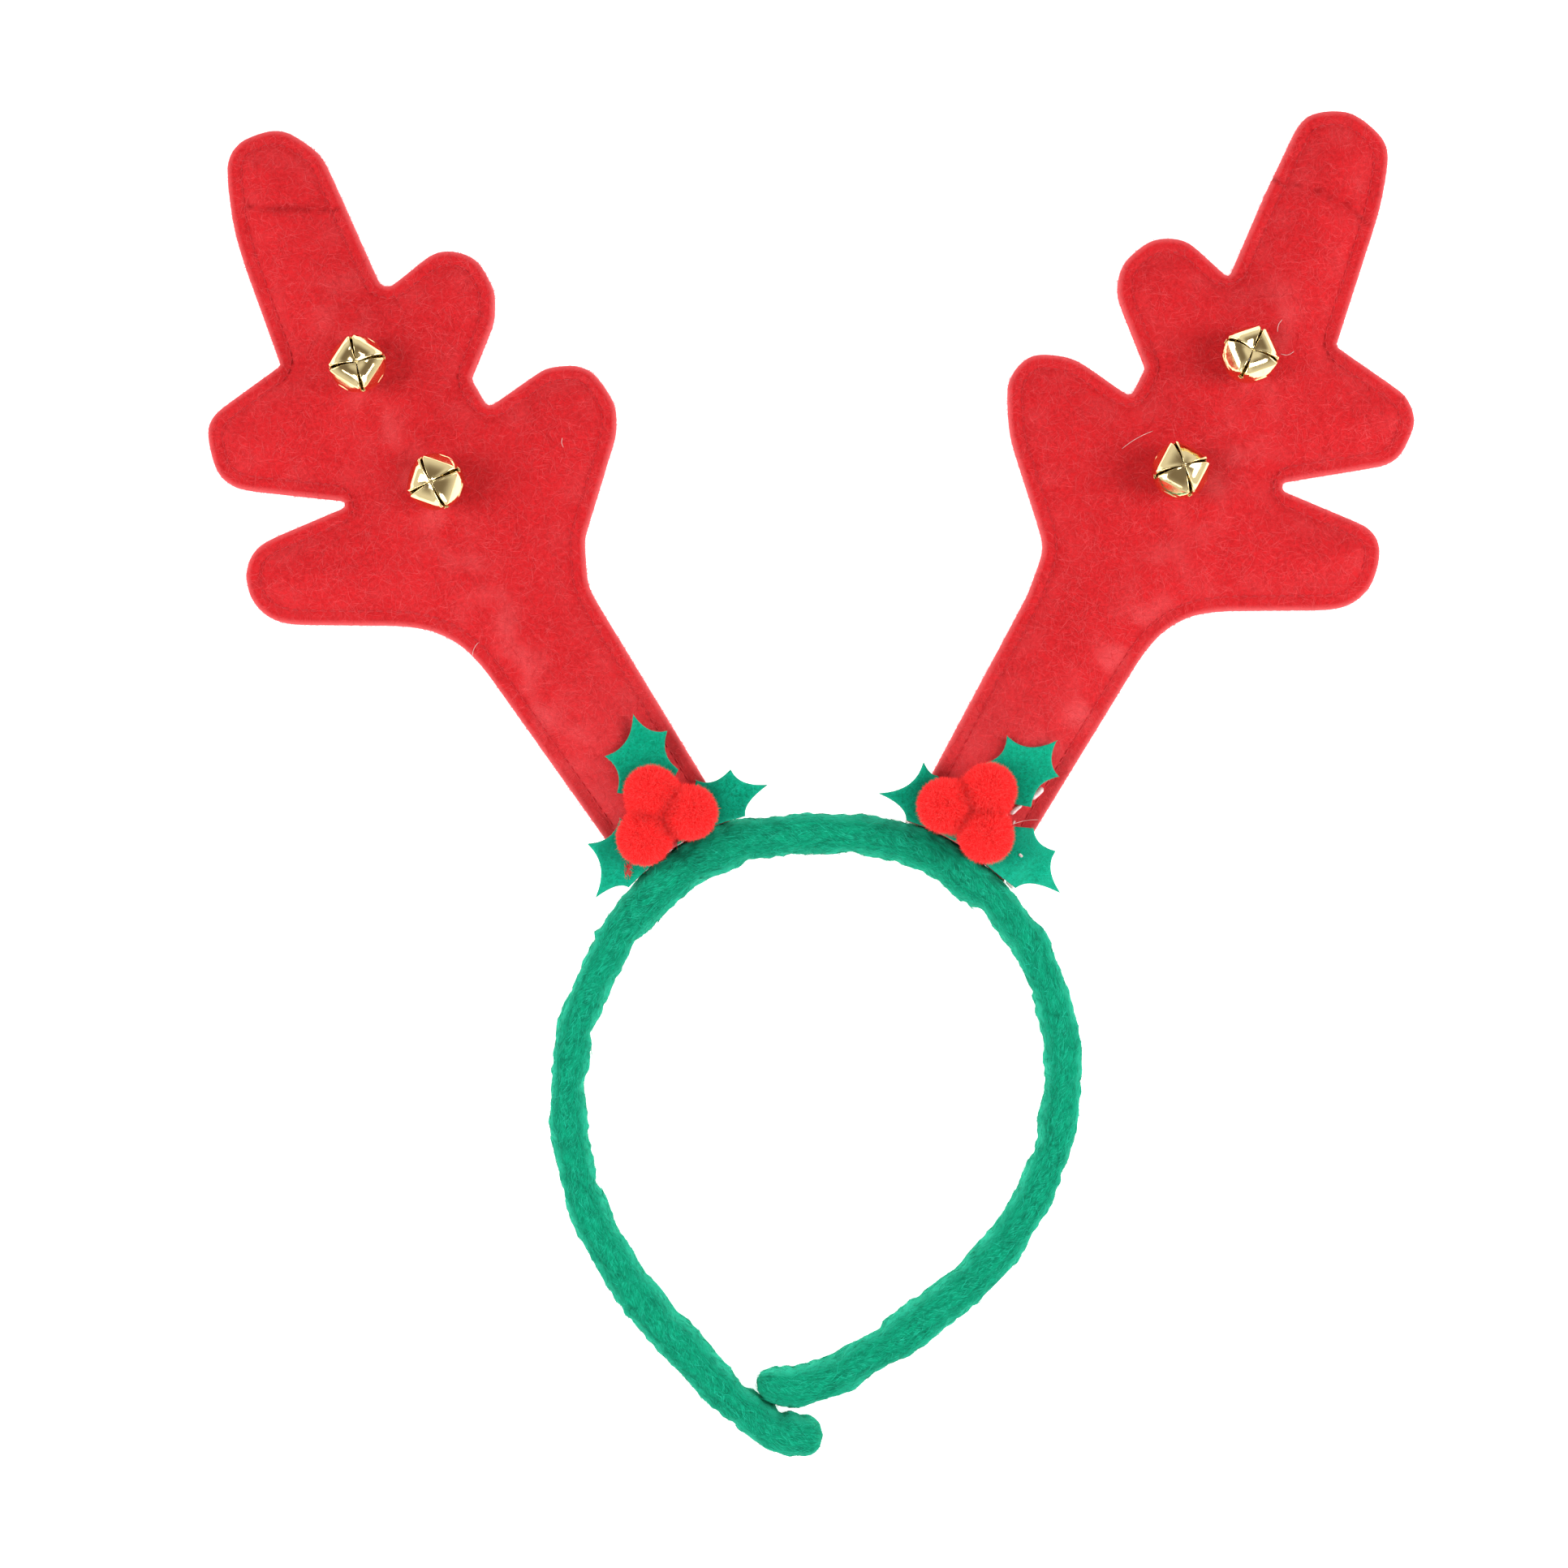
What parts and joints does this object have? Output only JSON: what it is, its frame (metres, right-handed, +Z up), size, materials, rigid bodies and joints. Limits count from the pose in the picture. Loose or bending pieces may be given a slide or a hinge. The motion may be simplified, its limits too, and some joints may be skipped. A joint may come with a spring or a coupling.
{
  "type": "reindeer antler headband",
  "caption": "Felt-wrapped open headband with two sewn felt antlers, jingle bells, and holly leaves with pompom berries at the antlers' feet, lying flat.",
  "frame": {"origin": "centre of the bounding box's underside, on the surface the headband lies on", "axes": "+X across the antlers to the viewer's right, +Y from the band's open ends to the antlers' tips, +Z up from the surface to the face with the bells"},
  "size_m": [0.2826, 0.314, 0.0253],
  "materials": {
    "red_felt": "matt needle felt",
    "green_felt": "matt woolly felt",
    "leaf_felt": "matt craft felt",
    "berry_pile": "fuzzy pile",
    "bell_brass": "polished pale plating",
    "pea_steel": "plain"
  },
  "bodies": {
    "root": {"headband": "green_felt", "antler_left_front": "red_felt", "antler_left_back": "red_felt", "bell_left_upper": "bell_brass", "bell_pea_left_upper": "pea_steel", "bell_left_lower": "bell_brass", "bell_pea_left_lower": "pea_steel", "holly_leaf_left_1": "leaf_felt", "berry_left_1": "berry_pile", "holly_leaf_left_2": "leaf_felt", "berry_left_2": "berry_pile", "holly_leaf_left_3": "leaf_felt", "berry_left_3": "berry_pile", "antler_right_front": "red_felt", "antler_right_back": "red_felt", "bell_right_upper": "bell_brass", "bell_pea_right_upper": "pea_steel", "bell_right_lower": "bell_brass", "bell_pea_right_lower": "pea_steel", "holly_leaf_right_1": "leaf_felt", "berry_right_1": "berry_pile", "holly_leaf_right_2": "leaf_felt", "berry_right_2": "berry_pile", "holly_leaf_right_3": "leaf_felt", "berry_right_3": "berry_pile"}
  },
  "joints": []
}
